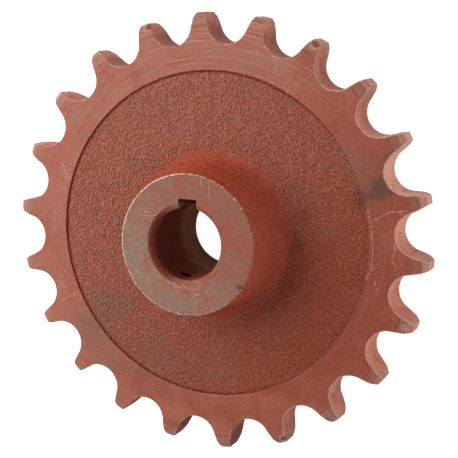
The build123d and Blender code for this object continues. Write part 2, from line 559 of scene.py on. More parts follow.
# %% Knocked tips
BRUISES = [((-32.5, 85.6, 17.8), 2.6, 0.9), ((21.6, 89.7, 17.0), 2.2, 1.3), ((42.1, 81.8, 17.2), 2.8, 0.7),
           ((85.2, -29.1, 17.5), 1.9, 0.7), ((-53.9, 74.2, 17.4), 2.2, 0.5), ((-92.5, 4.5, 12.0), 2.6, 0.6),
           ((66.2, 64.0, 16.6), 2.4, 0.6), ((-12.4, -91.2, 15.0), 2.6, 0.6), ((36.0, -84.0, 17.5), 2.2, 0.5),
           ((-74.5, -53.5, 15.5), 2.4, 0.6), ((92.0, 12.0, 14.0), 2.0, 0.5), ((-66.5, 65.0, 8.0), 2.8, 0.7)]
TIP_ROUGHNESS = 0.2
DENT_GRAIN = 3.2
TEETH_FROM = WEB_RADIUS + 5
WORN_TIPS = {0: 93.2, 1: 93.15, 2: 93.5, 9: 93.4, 14: 93.5, 20: 93.4, 21: 93.15}

body.normal_update()
for vert in body.verts:
    x, y, z = vert.co / MM
    radius = hypot(x, y)
    if radius < TEETH_FROM:
        continue
    rough = noise.noise(vert.co / (DENT_GRAIN * MM))
    tooth = floor((atan2(y, x) - FIRST_GAP) % (2 * pi) / (2 * pi) * TEETH)
    limit = WORN_TIPS.get(tooth, TIP_RADIUS) - TIP_ROUGHNESS * max(0.0, rough)
    vert.co.xy *= min(1, limit / radius)
    for place, size, depth in BRUISES:
        away = (vert.co / MM - Vector(place)).length / size
        if away < 1:
            vert.co -= vert.normal * depth * ease(1, 0.35, away) * (0.75 + 0.5 * rough) * MM

sprocket_mesh = bpy.data.meshes.new("sprocket")
body.to_mesh(sprocket_mesh)
body.free()
sprocket = bpy.data.objects.new("sprocket", sprocket_mesh)
bpy.context.scene.collection.objects.link(sprocket)
print(len(BRUISES), "bruises and", len(WORN_TIPS), "worn tips")

# %% [markdown]
# ## Keyway and screw hole
# These two cross the even grid at an odd angle, so here a Boolean is the right tool. Each cutter is
# the shape of the real one: a square broach bar and a round drill.

# %% A cutter
def cutter(name, bm):
    """A tool that a Boolean modifier takes away from the sprocket."""
    mesh = bpy.data.meshes.new(name)
    bmesh.ops.recalc_face_normals(bm, faces=bm.faces)
    bm.to_mesh(mesh)
    bm.free()
    tool = bpy.data.objects.new(name, mesh)
    bpy.context.scene.collection.objects.link(tool)
    modifier = sprocket.modifiers.new(name, "BOOLEAN")
    modifier.operation = "DIFFERENCE"
    modifier.solver = "EXACT"
    modifier.object = tool
    return tool


# %% [markdown]
# The broach bar stands out of the hub at both ends. Where a cutter ends level with a face, a Boolean
# can't tell whether to cut it.

# %% Broach
KEY_WIDTH = 8.0
KEY_FLOOR = 18.5
BROACH_SPARE = 4

broach = bmesh.new()
bmesh.ops.create_cube(broach, size=1)
bmesh.ops.scale(broach, verts=broach.verts,
                vec=(KEY_WIDTH * MM, KEY_FLOOR * MM, (HUB_LENGTH + BROACH_SPARE) * MM))
bmesh.ops.translate(broach, verts=broach.verts, vec=(0, KEY_FLOOR / 2 * MM, HUB_LENGTH / 2 * MM))
tools = [cutter("broach", broach)]
print("the keyway is", KEY_WIDTH, "mm wide and", round(KEY_FLOOR - BORE_RADIUS, 2), "mm deep")

# %% [markdown]
# The drill starts on the axis, so that it breaks through into the bore, and leaves the hub's side near
# the front end. It is a cone with two equal radii, laid down and then turned to its direction.

# %% Drill
HOLE_RADIUS = 2.5
HOLE_HEIGHT = 35.6
HOLE_ANGLE = radians(-103)
DRILL_REACH = 40

drill = bmesh.new()
bmesh.ops.create_cone(drill, segments=32, radius1=HOLE_RADIUS * MM, radius2=HOLE_RADIUS * MM,
                      depth=DRILL_REACH * MM, cap_ends=True)
bmesh.ops.rotate(drill, verts=drill.verts, cent=(0, 0, 0),
                 matrix=Matrix.Rotation(HOLE_ANGLE, 3, "Z") @ Matrix.Rotation(pi / 2, 3, "Y"))
hole_line = Vector((cos(HOLE_ANGLE), sin(HOLE_ANGLE), 0))
bmesh.ops.translate(drill, verts=drill.verts,
                    vec=(hole_line * DRILL_REACH / 2 + Vector((0, 0, HOLE_HEIGHT))) * MM)
tools.append(cutter("drill", drill))
print("the drill has", len(tools[-1].data.vertices), "vertices")

# %% [markdown]
# The evaluated mesh is what the modifiers make, so taking it is the same as applying them. Then the
# cutters can go. Smooth shading with sharp creases suits a part of turned faces and rounded edges.

# %% Cut them
CREASE = radians(32)

cut_mesh = bpy.data.meshes.new_from_object(sprocket.evaluated_get(bpy.context.evaluated_depsgraph_get()))
sprocket.modifiers.clear()
sprocket.data = cut_mesh
for tool in tools:
    bpy.data.objects.remove(tool)
for polygon in cut_mesh.polygons:
    polygon.use_smooth = True
cut_mesh.set_sharp_from_angle(angle=CREASE)
print("after cutting:", len(cut_mesh.polygons), "faces,",
      sum(len(p.vertices) - 2 for p in cut_mesh.polygons), "triangles")

# %% [markdown]
# ## Where the marks are
# Some marks belong to one place: a stain, a scuff, a bruise. An image texture could hold them, but it
# would need a UV map. Here they are painted on the vertices as numbers from 0 to 1, as in weight
# painting, and the finishes turn them into colour and relief. A k-d tree finds the vertices nearby.

# %% A brush
near = KDTree(len(cut_mesh.vertices))
for vert in cut_mesh.vertices:
    near.insert(vert.co, vert.index)
near.balance()


def paint(name, marks):
    """Paints marks on a new layer. Each has a place x, y, z, a size, all in mm, and a strength."""
    layer = cut_mesh.attributes.new(name, "FLOAT", "POINT")
    for x, y, z, size, strength in marks:
        for _, index, away in near.find_range(Vector((x, y, z)) * MM, size * MM):
            value = strength * ease(1, 0.2, away / size / MM)
            layer.data[index].value = max(layer.data[index].value, value)
    print(name, "painted at", len(marks), "places")


# %% [markdown]
# A bruise is painted where the tip was knocked, a little larger than the dent. Stains and scuffs lie
# on the rim, on the web and on the hub's face, and several soft spots make one uneven stain.

# %% Bruises, stains and scuffs
BRUISE_PAINT = 1.3

paint("bruise", [(*place, size * BRUISE_PAINT, 1.0) for place, size, _ in BRUISES]
      + [(22.0, 89.9, 15.5, 3.0, 1.0)])
# A dark stain on the right of the rim, faint ones elsewhere, and a spot by the edge of the hub's face.
paint("stain", [(75.0, 27.6, 19.3, 7.5, 1.0), (71.6, 26.0, 19.3, 8.0, 1.0), (68.0, 24.0, 19.3, 7.5, 0.9),
                (65.0, 21.5, 19.3, 7.0, 0.6), (76.3, 39.5, 19.3, 4.5, 0.7), (75.3, 34.6, 19.3, 5.0, 0.45),
                (68.5, 34.5, 19.3, 10.0, 0.35), (-54.9, -48.7, 19.3, 12.0, 0.3),
                (-40.0, -64.0, 19.3, 9.0, 0.3), (-62.0, 38.0, 19.3, 9.0, 0.35),
                (24.2, -14.9, 45.0, 1.9, 1.0), (39.6, 1.7, 20.0, 7.0, 0.2), (41.3, 12.3, 20.0, 6.0, 0.3)])
# Scuffs, round the rim and on the hub's face.
paint("scuff", [(32.1, 64.9, 19.5, 8.0, 1.0), (24.0, 72.5, 19.5, 7.0, 0.6), (-70.3, 21.6, 19.5, 9.0, 0.9),
                (-71.8, -37.1, 19.5, 8.0, 0.7), (-60.8, -32.1, 19.5, 6.0, 1.0),
                (-71.4, -29.7, 19.5, 7.0, 0.9), (80.4, -2.9, 19.5, 6.0, 0.5), (81.1, -8.5, 19.5, 6.0, 0.55),
                (71.6, 8.0, 19.5, 6.0, 0.5), (71.0, -6.0, 19.5, 6.0, 0.6), (72.7, -13.2, 19.5, 6.0, 0.5),
                (44.8, -53.6, 19.5, 6.0, 0.9), (71.2, 14.5, 19.5, 7.0, 0.4), (84.0, 16.0, 19.5, 5.0, 0.8),
                (50.0, -70.0, 19.0, 9.0, 0.5), (-21.7, -13.1, 45.0, 6.0, 0.6), (-4.0, -16.6, 45.0, 6.0, 1.0),
                (6.0, -17.6, 45.0, 5.0, 1.0), (-15.5, 11.3, 45.0, 5.0, 0.7)])

# %% [markdown]
# Film comes from hands and grease, in large soft areas. Red primer is left on the hub's face where
# nothing rubs, and on the hub's side the coat ran together in drops before it dried.

# %% Film, red primer and drops
# The brown film of handling, at the lower left and the bottom, at the right and on the hub's face.
paint("patina", [(-24.5, -7.5, 45.0, 4.5, 1.0), (-22.0, -11.5, 45.0, 4.5, 0.9),
                 (-18.5, -16.0, 45.0, 4.0, 0.6), (-54.0, -47.0, 19.3, 17.0, 1.0),
                 (-46.0, -36.0, 19.0, 15.0, 0.8), (-46.0, -58.0, 19.3, 14.0, 0.7),
                 (57.6, 40.4, 19.3, 7.0, 0.6), (62.1, 34.7, 19.3, 7.0, 0.7), (65.8, 28.2, 19.3, 6.0, 0.7),
                 (67.0, 35.0, 19.3, 10.0, 0.4), (-22.0, -58.0, 19.0, 20.0, 0.55),
                 (4.0, -58.0, 19.0, 18.0, 0.45)])
# Red primer that is left on the hub's face, and primer that ran together in drops on the hub's side.
paint("blush", [(-3.4, 23.5, 45.0, 6.0, 0.9), (-7.3, 20.7, 45.0, 4.0, 0.6), (1.4, 24.7, 45.0, 3.0, 0.5),
                (-8.8, -17.1, 45.0, 4.0, 0.8), (-2.9, -18.5, 45.0, 4.5, 0.9), (3.3, -17.4, 45.0, 4.5, 1.0),
                (9.0, -15.0, 45.0, 4.0, 0.9), (21.8, 2.0, 45.0, 5.0, 0.6), (18.1, 8.5, 45.0, 5.0, 0.6),
                (-18.8, 16.4, 45.0, 3.0, 0.3)])
paint("pool", [(6.5, 29.8, 43.0, 3.5, 0.7), (10.0, 28.5, 42.5, 3.2, 0.9), (13.1, 26.7, 42.0, 3.2, 0.9),
               (16.8, 24.6, 42.0, 3.0, 0.6), (20.3, 21.6, 41.5, 2.8, 0.4), (24.0, -18.5, 40.0, 3.0, 0.35),
               (4.0, 30.0, 40.0, 4.0, 0.25)])

# %% [markdown]
# Other marks are rings. The tool skimmed the web on its flush side and tore the skin there, and a
# dark line of painted shade lies in the corner of the step on the other side. The edges of the hub's
# face and of the step are rubbed. A ring is a question of radius, so each vertex can work its own number out.

# %% Rings of wear and dirt
SKIM_INSIDE, SKIM_OUTSIDE = (63, 68.5), (71.5, 69.3)  # radii from no mark to all of it
CORNER_INSIDE, CORNER_OUTSIDE = (68.2, 68.8), (69.4, 69.1)
RUBBED_HALF = 0.35
STEP_RUBBED_HALF = 0.3

skim = cut_mesh.attributes.new("skim", "FLOAT", "POINT")
# The corner layer is painted shade: a dark line in the corner of the web's step, on its deep side.
corner = cut_mesh.attributes.new("corner", "FLOAT", "POINT")
wear = cut_mesh.attributes["edge_wear"]
for vert in cut_mesh.vertices:
    x, y, z = vert.co / MM
    radius, angle = hypot(x, y), atan2(y, x)
    hub_radius = hypot(x - HUB_SHIFT[0], y - HUB_SHIFT[1])
    flush = ease(0.3, 0.85, cos(angle - FLUSH_SIDE))
    if z > FRONT_HALF:
        skim.data[vert.index].value = flush * ease(*SKIM_INSIDE, radius) * ease(*SKIM_OUTSIDE, radius)
        corner.data[vert.index].value = ((1 - flush) * ease(*CORNER_INSIDE, radius)
                                         * ease(*CORNER_OUTSIDE, radius))
    if z > HUB_LENGTH - 0.5 and abs(hub_radius - HUB_FACE_RADIUS + EDGE_BREAK / 2) < RUBBED_HALF:
        wear.data[vert.index].value = 1.0
    if z > RIM_FRONT - 0.05 and abs(radius - WEB_RADIUS) < STEP_RUBBED_HALF:
        wear.data[vert.index].value = 0.9 * (1 - flush)
print("painted layers:", [a.name for a in cut_mesh.attributes if a.data_type == "FLOAT"])

# %% [markdown]
# ## A place for every mark
# Dirt and wear on a round part depend on two things: how far a point is from the axis, and which side
# of the part it is on. Both come from the point's place. A dot product with a direction says how far
# the point lies that way, and two limits turn that distance into a mask that rises smoothly.

# %% Where a point lies
def from_axis(tree, place):
    """The place without its height, and its distance from the bore's axis."""
    flat = add(tree, "ShaderNodeVectorMath", {"operation": "MULTIPLY"}, {0: place, 1: (1, 1, 0)}).outputs[0]
    return flat, add(tree, "ShaderNodeVectorMath", {"operation": "LENGTH"}, {0: flat}).outputs["Value"]


def towards(tree, place, direction, start, end, most=1.0, unit=MM):
    """A mask that rises from 0 at start to most at end, both in millimetres along a direction."""
    along = add(tree, "ShaderNodeVectorMath", {"operation": "DOT_PRODUCT"}, {0: place, 1: direction})
    return add(tree, "ShaderNodeMapRange", {"interpolation_type": "SMOOTHSTEP"},
               {"Value": along.outputs["Value"], "From Min": start * unit, "From Max": end * unit,
                "To Max": most}).outputs[0]


# %% [markdown]
# ## Finish 1: sand-cast iron under red-oxide primer
# The web, the fillet and the side of the hub are as they came out of the mould, and the thin matt
# primer follows every grain. It is red oxide, an earth colour, so it is deep and saturated where it
# has pooled, and brown-grey where dust has settled. To the eye it is rough, dry and dark. The finish
# begins with the places that it needs: the dusty side, the foot of the hub, and the painted marks.

# %% Where on the cast skin
cast_skin, tree, place = start_finish("sand_cast_iron_primed")
radius = from_axis(tree, place)[1]
# The dusty side lies towards the key lamp, so its lighter primer is dust and also painted light.
dusty_and_lit_side = towards(tree, place, (-0.75, 0.66, 0), -70, 60)
# The rough side also faces the key lamp: the grain is taller there and its tops get more painted highlight.
rough_and_lit_side = towards(tree, place, (-0.75, 0.66, 0), -55, 20)
near_hub = add(tree, "ShaderNodeMapRange", {"interpolation_type": "SMOOTHSTEP"},
               {"Value": radius, "From Min": 39 * MM, "From Max": 33 * MM}).outputs[0]
# The corner layer read here is painted shade in the corner of the step.
stain, pool, film, step_corner_shade, torn = [
    add(tree, "ShaderNodeAttribute", {"attribute_name": name}).outputs["Fac"]
    for name in ("stain", "pool", "patina", "corner", "skim")]
cloud = add(tree, "ShaderNodeTexNoise", inputs={"Vector": place, "Scale": per_mm(8), "Detail": 5.0,
                                                "Roughness": 0.65, "Distortion": 0.3}).outputs["Fac"]
print("nodes so far:", len(tree.nodes))

# %% [markdown]
# Heights and masks are added up, each with a weight of its own. Marks that overlap aren't added, or
# they would count double there: the strongest one holds.

# %% Sums and the strongest mark
def weighted(tree, total, *parts):
    """A value, and others added to it, each times its own weight."""
    for part, weight in parts:
        total = add(tree, "ShaderNodeMath", {"operation": "MULTIPLY_ADD"},
                    {0: part, 1: weight, 2: total}).outputs[0]
    return total


def strongest(tree, masks):
    """The largest of several masks."""
    largest = masks[0]
    for mask in masks[1:]:
        largest = add(tree, "ShaderNodeMath", {"operation": "MAXIMUM"}, {0: largest, 1: mask}).outputs[0]
    return largest


# %% [markdown]
# Grains of moulding sand leave round imprints, which the iron and the primer soften. Real ones are
# three or four times finer and would not show, so they are drawn 1.35 mm apart, as coarse as needed.
# Round cells alone would look like bubble wrap, so noise pushes them out of line, and a second noise
# roughens them. Bump is enough, because no grain shows in the outline.

# %% Sand grain
GRAIN = 1.35
GRAIN_ROUGHNESS = 0.9

warp = add(tree, "ShaderNodeTexNoise", inputs={"Vector": place, "Scale": per_mm(1.6), "Detail": 1.0})
warped, nudged = [add(tree, "ShaderNodeVectorMath", {"operation": "MULTIPLY_ADD"},
                      {0: warp.outputs["Color"], 1: (push * MM, push * MM, push * MM), 2: place}).outputs[0]
                  for push in (1.1, 0.3)]
grains = add(tree, "ShaderNodeTexVoronoi", inputs={"Vector": warped, "Scale": per_mm(GRAIN)})
grain_round = add(tree, "ShaderNodeMapRange", {"interpolation_type": "SMOOTHSTEP"},
                  {"Value": grains.outputs["Distance"], "From Min": 0.65, "From Max": 0.0}).outputs[0]
grain_chance = add(tree, "ShaderNodeSeparateColor", inputs={"Color": grains.outputs["Color"]})
grain_size = add(tree, "ShaderNodeMapRange",
                 inputs={"Value": grain_chance.outputs[0], "To Min": 0.05, "To Max": 0.4}).outputs[0]
rough = add(tree, "ShaderNodeTexNoise", inputs={"Vector": nudged, "Scale": per_mm(GRAIN_ROUGHNESS),
                                                "Detail": 2.0, "Roughness": 0.55}).outputs["Fac"]
skin = weighted(tree, rough, (grain_round, grain_size))
print("nodes so far:", len(tree.nodes))

# %% [markdown]
# A few grains washed out of the mould and left pits. Where the turning tool only just touched the web,
# it tore the skin instead of cutting it, which leaves ragged holes. The swell, slower than the grain,
# keeps the skin from looking like a flat sheet of sandpaper.

# %% Pits, torn skin and swell
# Pits and torn holes are sunk by the bump and painted dark, painted shade inside them.
PIT_SPACING = 5.5

cells = add(tree, "ShaderNodeTexVoronoi", inputs={"Vector": place, "Scale": per_mm(PIT_SPACING)})
pit_size = add(tree, "ShaderNodeMapRange", inputs={"Value": cells.outputs["Color"], "From Min": 0.62,
                                                   "From Max": 1.0, "To Min": 0.0, "To Max": 0.13})
pit = add(tree, "ShaderNodeMath", {"operation": "LESS_THAN"},
          {0: cells.outputs["Distance"], 1: pit_size.outputs[0]}).outputs[0]
torn_grain = add(tree, "ShaderNodeTexNoise", inputs={"Vector": place, "Scale": per_mm(0.75), "Detail": 2.0})
torn_sum = weighted(tree, torn_grain.outputs["Fac"], (torn, 0.2))
torn_pit = add(tree, "ShaderNodeMapRange", {"interpolation_type": "SMOOTHSTEP"},
               {"Value": torn_sum, "From Min": 0.74, "From Max": 0.84, "To Max": 0.48}).outputs[0]
holes = strongest(tree, [pit, torn_pit])

swell = add(tree, "ShaderNodeTexNoise", inputs={"Vector": place, "Scale": per_mm(2.6), "Detail": 2.0})
side_height = add(tree, "ShaderNodeMapRange", inputs={"Value": rough_and_lit_side, "To Min": 1.6, "To Max": 2.15})
grain_height = add(tree, "ShaderNodeMapRange",
                   inputs={"Value": near_hub, "To Min": side_height.outputs[0], "To Max": 0.5})
skin_relief = weighted(tree, 0.0, (skin, grain_height.outputs[0]), (swell.outputs["Fac"], 0.9),
                       (holes, -0.4))
print("nodes so far:", len(tree.nodes))

# %% [markdown]
# A painter builds a surface up in glazes, thin coats that let the one below show, and a network does
# the same with a chain of Mix nodes. A glaze needs a mask. Often the mask is a noise that is cut off
# between two levels, so that the colour comes in patches with soft edges and the rest stays clear.

# %% Glazes
def glaze(tree, under, hex_code, mask, share=1.0):
    """Lays a colour over another through a mask, as strongly as a share says."""
    part = add(tree, "ShaderNodeMath", {"operation": "MULTIPLY"}, {0: mask, 1: share})
    return add(tree, "ShaderNodeMix", {"data_type": "RGBA"},
               {0: part.outputs[0], 6: under, 7: colour(hex_code)}).outputs[2]


def glaze_where(tree, under, hex_code, value, clear, full, most=1.0, share=1.0):
    """Lays a colour where a value is near one level, full, and leaves it off near another, clear."""
    mask = add(tree, "ShaderNodeMapRange", {"interpolation_type": "SMOOTHSTEP"},
               {"Value": value, "From Min": clear, "From Max": full, "To Max": most})
    return glaze(tree, under, hex_code, mask.outputs[0], share)


# %% [markdown]
# The primer starts from two reds, a deep one and a dusty one. The dusty one lies towards the upper left,
# where the key lamp shines, so it is dust and also painted light. The hub has reds of its own, brighter
# where the coat is thick and darker at its foot, which is also painted shade in the fillet's crease.
# Dust lies in soft clouds. The hollows between the grains are painted darker, painted shade, and the
# tops of the grains are rubbed pink and painted lighter, a painted highlight strongest on the side
# towards the key lamp. Both show the relief even in flat light.

# %% Primer on the cast skin
primer = glaze(tree, colour("#974830"), "#b16651", dusty_and_lit_side)
hub_side = glaze(tree, colour("#b44d31"), "#b0513b", towards(tree, place, (1, -0.1, 0), 0, 28))
# Painted shade: the hub's red is darker at its foot, in the crease of the fillet, and brighter above it.
above_foot = towards(tree, place, (0, 0, 1), 20, 27)
hub_colour = add(tree, "ShaderNodeMix", {"data_type": "RGBA"},
                 {0: above_foot, 6: colour("#9e412b"), 7: hub_side})
primer = add(tree, "ShaderNodeMix", {"data_type": "RGBA"},
             {0: near_hub, 6: primer, 7: hub_colour.outputs[2]}).outputs[2]
dust_sum = weighted(tree, cloud, (dusty_and_lit_side, 0.12), (near_hub, -0.3))
dust = add(tree, "ShaderNodeMapRange", {"interpolation_type": "SMOOTHSTEP"},
           {"Value": dust_sum, "From Min": 0.48, "From Max": 0.76, "To Max": 0.4}).outputs[0]
primer = glaze(tree, primer, "#8f6250", dust)
# Painted shade: the hollows between the grains are laid in a darker red.
primer = glaze_where(tree, primer, "#6d2a1a", skin, 0.62, 0.38, 0.35)
# The tops of the grains are rubbed pink and painted lighter, a painted highlight, most towards the key lamp.
top_share = add(tree, "ShaderNodeMapRange", inputs={"Value": rough_and_lit_side, "To Min": 0.35, "To Max": 0.95})
top_rub_and_highlight = add(tree, "ShaderNodeMapRange",
               inputs={"Value": near_hub, "To Min": top_share.outputs[0], "To Max": 0.1}).outputs[0]
primer = glaze_where(tree, primer, "#c48875", skin, 0.56, 0.88, 0.6, top_rub_and_highlight)
print("nodes so far:", len(tree.nodes))

# %% [markdown]
# Every finish ends in the same three nodes. A Bump node turns heights into relief, a Principled shader
# takes the colour and the gloss, and the output hands both to the surface.

# %% The end of a finish
def end_finish(tree, base_colour, roughness, specular, height, depth=1.0):
    """Ends a material with its colour, its gloss, and a relief of height times depth, in millimetres."""
    bump = add(tree, "ShaderNodeBump", inputs={"Height": height, "Distance": depth * MM, "Strength": 1.0})
    shader = add(tree, "ShaderNodeBsdfPrincipled",
                 inputs={"Base Color": base_colour, "Roughness": roughness,
                         "Specular IOR Level": specular, "Normal": bump.outputs[0]})
    add(tree, "ShaderNodeOutputMaterial", inputs={"Surface": shader.outputs[0]})


# %% [markdown]
# The marks go on last: pale specks where the coat is chipped, stains, the brown film of handling,
# primer that pooled, a dark line in the corner of the step, which is painted shade, and the dark holes,
# also painted shade. A loop lays them one over another, because they differ only in mask, strength
# and colour.

# %% Marks on the cast skin
SPECK_SPACING = 3.2

cells = add(tree, "ShaderNodeTexVoronoi", inputs={"Vector": place, "Scale": per_mm(SPECK_SPACING)})
speck_size = add(tree, "ShaderNodeMapRange", inputs={"Value": cells.outputs["Color"], "From Min": 0.88,
                                                     "From Max": 1.0, "To Min": 0.0, "To Max": 0.16})
speck = add(tree, "ShaderNodeMath", {"operation": "LESS_THAN"},
            {0: cells.outputs["Distance"], 1: speck_size.outputs[0]}).outputs[0]
speck_share = add(tree, "ShaderNodeMapRange",
                  inputs={"Value": near_hub, "To Min": cloud, "To Max": 0.0}).outputs[0]
# Of these, the corner of the step and the holes are painted shade, laid in dark reds.
for mask, share, hex_code in ((speck, speck_share, "#dcb19d"), (stain, 0.55, "#4f2b1c"),
                              (film, 0.7, "#85604c"), (pool, 1.0, "#b0200f"),
                              (step_corner_shade, 1.0, "#7a2412"), (holes, 1.0, "#562718")):
    primer = glaze(tree, primer, hex_code, mask, share)
dryness = add(tree, "ShaderNodeMapRange", inputs={"Value": dust, "To Min": 0.55, "To Max": 0.85})
end_finish(tree, primer, dryness.outputs[0], 0.2, skin_relief)
print(cast_skin.name, "has", len(tree.nodes), "nodes")

# %% [markdown]
# ## Finish 2: turned iron under primer
# The faces of the rim and the crowns of the teeth were cut on the lathe, so they are smooth, with fine
# rings about the axis. The primer lies thin and even on them, a pinker red than on the casting. Rings
# could be drawn by a Wave texture, but its lines are all alike. A 4-D noise does better: it reads the
# radius in its fourth place, where it changes fast, and a slow place in the other three.

# %% Feed lines and clouds
FEED = 0.45
CROWN_FEED = 0.42

turned, tree, place = start_finish("turned_iron_primed")
radius = from_axis(tree, place)[1]
dusty_and_lit_side = towards(tree, place, (-0.86, 0.5, 0), -50, 50)
top_side = towards(tree, place, (-0.15, 1, 0), 50, 78)
bottom_side = towards(tree, place, (-0.15, 1, 0), -50, -88)
right_side = towards(tree, place, (1, 0, 0), 10, 75)

slow_place = add(tree, "ShaderNodeVectorMath", {"operation": "SCALE"}, {0: place, "Scale": per_mm(24)})
rings = []
for spacing, detail, roughness in ((FEED, 2.0, 0.6), (CROWN_FEED, 1.0, 0.5)):
    fast_radius = add(tree, "ShaderNodeMath", {"operation": "MULTIPLY"}, {0: radius, 1: per_mm(spacing)})
    rings.append(add(tree, "ShaderNodeTexNoise", {"noise_dimensions": "4D"},
                     {"Vector": slow_place.outputs[0], "W": fast_radius.outputs[0], "Scale": 1.0,
                      "Detail": detail, "Roughness": roughness}).outputs["Fac"])
feed, crown_feed = rings
patches = add(tree, "ShaderNodeTexNoise",
              inputs={"Vector": place, "Scale": per_mm(6), "Detail": 4.0}).outputs["Fac"]
cloud = add(tree, "ShaderNodeTexNoise", inputs={"Vector": place, "Scale": per_mm(18), "Detail": 5.0,
                                                "Roughness": 0.6, "Distortion": 0.5}).outputs["Fac"]
fine = add(tree, "ShaderNodeTexNoise",
           inputs={"Vector": place, "Scale": per_mm(0.7), "Detail": 2.0}).outputs["Fac"]
print("nodes so far:", len(tree.nodes))

# %% [markdown]
# Dust dulls one side and the bottom of the rim, and where it is thick a grey-brown film shows in
# patches. On the upper left the dusty colour is lighter, which is also painted light, on the side that
# the key lamp lights. A fine mottle keeps the paint from looking like plastic. The feed lines show most
# at the top of the rim, where dirt fills them and a hand has rubbed the ridges between.

# %% Primer, dust and feed lines
# The lighter dust towards the upper left is also painted light, on the key lamp's side.
dust_sum = weighted(tree, cloud, (dusty_and_lit_side, 0.42))
dust = add(tree, "ShaderNodeMapRange", {"interpolation_type": "SMOOTHSTEP"},
           {"Value": weighted(tree, dust_sum, (bottom_side, 0.25)), "From Min": 0.45, "From Max": 1.0,
            "To Max": 0.9}).outputs[0]
primer = glaze(tree, colour("#8c402d"), "#a5604e", dust)
film_sum = add(tree, "ShaderNodeMath", {"operation": "MULTIPLY"}, {0: patches, 1: dust}).outputs[0]
primer = glaze_where(tree, primer, "#94705f", film_sum, 0.3, 0.6, 0.5)
primer = glaze_where(tree, primer, "#7a4031", fine, 0.48, 0.3, 0.35)
primer = glaze_where(tree, primer, "#bd8471", fine, 0.55, 0.75, 0.35)
feed_share = add(tree, "ShaderNodeMapRange",
                 inputs={"Value": top_side, "To Min": 0.3, "To Max": 1.0}).outputs[0]
primer = glaze_where(tree, primer, "#774a3a", feed, 0.52, 0.66, 0.6, feed_share)
primer = glaze_where(tree, primer, "#bf9482", feed, 0.46, 0.32, 0.4, feed_share)
print("nodes so far:", len(tree.nodes))

# %% [markdown]
# The crowns of the teeth were turned too, in a shallow cone and a round shoulder, and their primer is
# rubbed paler, most of all on the shoulder. On the teeth at the right the shoulder is painted paler and
# pinker still, a painted highlight on the rounded crown, and it is darker on the teeth at the top and at
# the bottom. Dirt darkens some of the feed rings there, and a dark line is laid along each of the two
# fine steps. The radius alone tells these zones apart.

# %% Crowns of the teeth
on_cone, on_crown = [add(tree, "ShaderNodeMapRange", {"interpolation_type": "SMOOTHSTEP"},
                         {"Value": radius, "From Min": (start - before) * MM,
                          "From Max": (start + after) * MM}).outputs[0]
                     for start, before, after in ((CONE_START, 0.6, 0.3), (CROWN_START, 0.1, 0.4))]
for least, most, hex_code in ((0.0, 0.03, "#734534"), (0.12, 0.16, "#c09a89")):
    cone_share = add(tree, "ShaderNodeMapRange",
                     inputs={"Value": right_side, "To Min": least, "To Max": most})
    primer = glaze(tree, primer, hex_code, on_cone, cone_share.outputs[0])
# Painted highlight: the crown is paler and pinker on the teeth at the right. It is darker at the top and
# bottom.
crown_colour = glaze(tree, colour("#ae988d"), "#cc8f7d", right_side)
crown_colour = glaze(tree, crown_colour, "#96776a", top_side)
crown_colour = glaze(tree, crown_colour, "#8d6a5d", bottom_side)
crown_part = add(tree, "ShaderNodeMapRange", inputs={"Value": on_crown, "To Max": 0.7}).outputs[0]
primer = add(tree, "ShaderNodeMix", {"data_type": "RGBA"},
             {0: crown_part, 6: primer, 7: crown_colour}).outputs[2]
primer = glaze_where(tree, primer, "#6b3a2b", crown_feed, 0.5, 0.68, 0.36, on_cone)
# A dark line along each of the two fine steps.
steps = strongest(tree, [add(tree, "ShaderNodeMath", {"operation": "COMPARE"},
                             {0: radius, 1: (start + 0.1) * MM, 2: 0.15 * MM}).outputs[0]
                         for start in (CONE_START, CROWN_START)])
primer = glaze_where(tree, primer, "#55291c", patches, 0.4, 0.62, 0.7, steps)
print("nodes so far:", len(tree.nodes))

# %% [markdown]
# Next come the stains and the brown film, at the places painted for them. The painted numbers change
# slowly, so a noise breaks them up, or their edges would look airbrushed.

# %% Stains and film
stain, scuff, film, edge, bruise = [
    add(tree, "ShaderNodeAttribute", {"attribute_name": name}).outputs["Fac"]
    for name in ("stain", "scuff", "patina", "edge_wear", "bruise")]
stain_noise = add(tree, "ShaderNodeMapRange", inputs={"Value": patches, "From Min": 0.3, "From Max": 0.62,
                                                      "To Min": 0.5, "To Max": 1.0})
stain_part = add(tree, "ShaderNodeMath", {"operation": "MULTIPLY"}, {0: stain, 1: stain_noise.outputs[0]})
primer = glaze_where(tree, primer, "#5c3d2d", stain_part.outputs[0], 0.1, 0.75, 0.88)
primer = glaze(tree, primer, "#7e5845", film, 0.65)
print("nodes so far:", len(tree.nodes))

# %% [markdown]
# A scratch is short, nearly straight, and lies near others that run the same way, because one knock
# makes several. A Voronoi texture that is stretched along the scratch has long thin cells, and the
# middle of a cell, cut off at a small distance, is a long thin stroke.

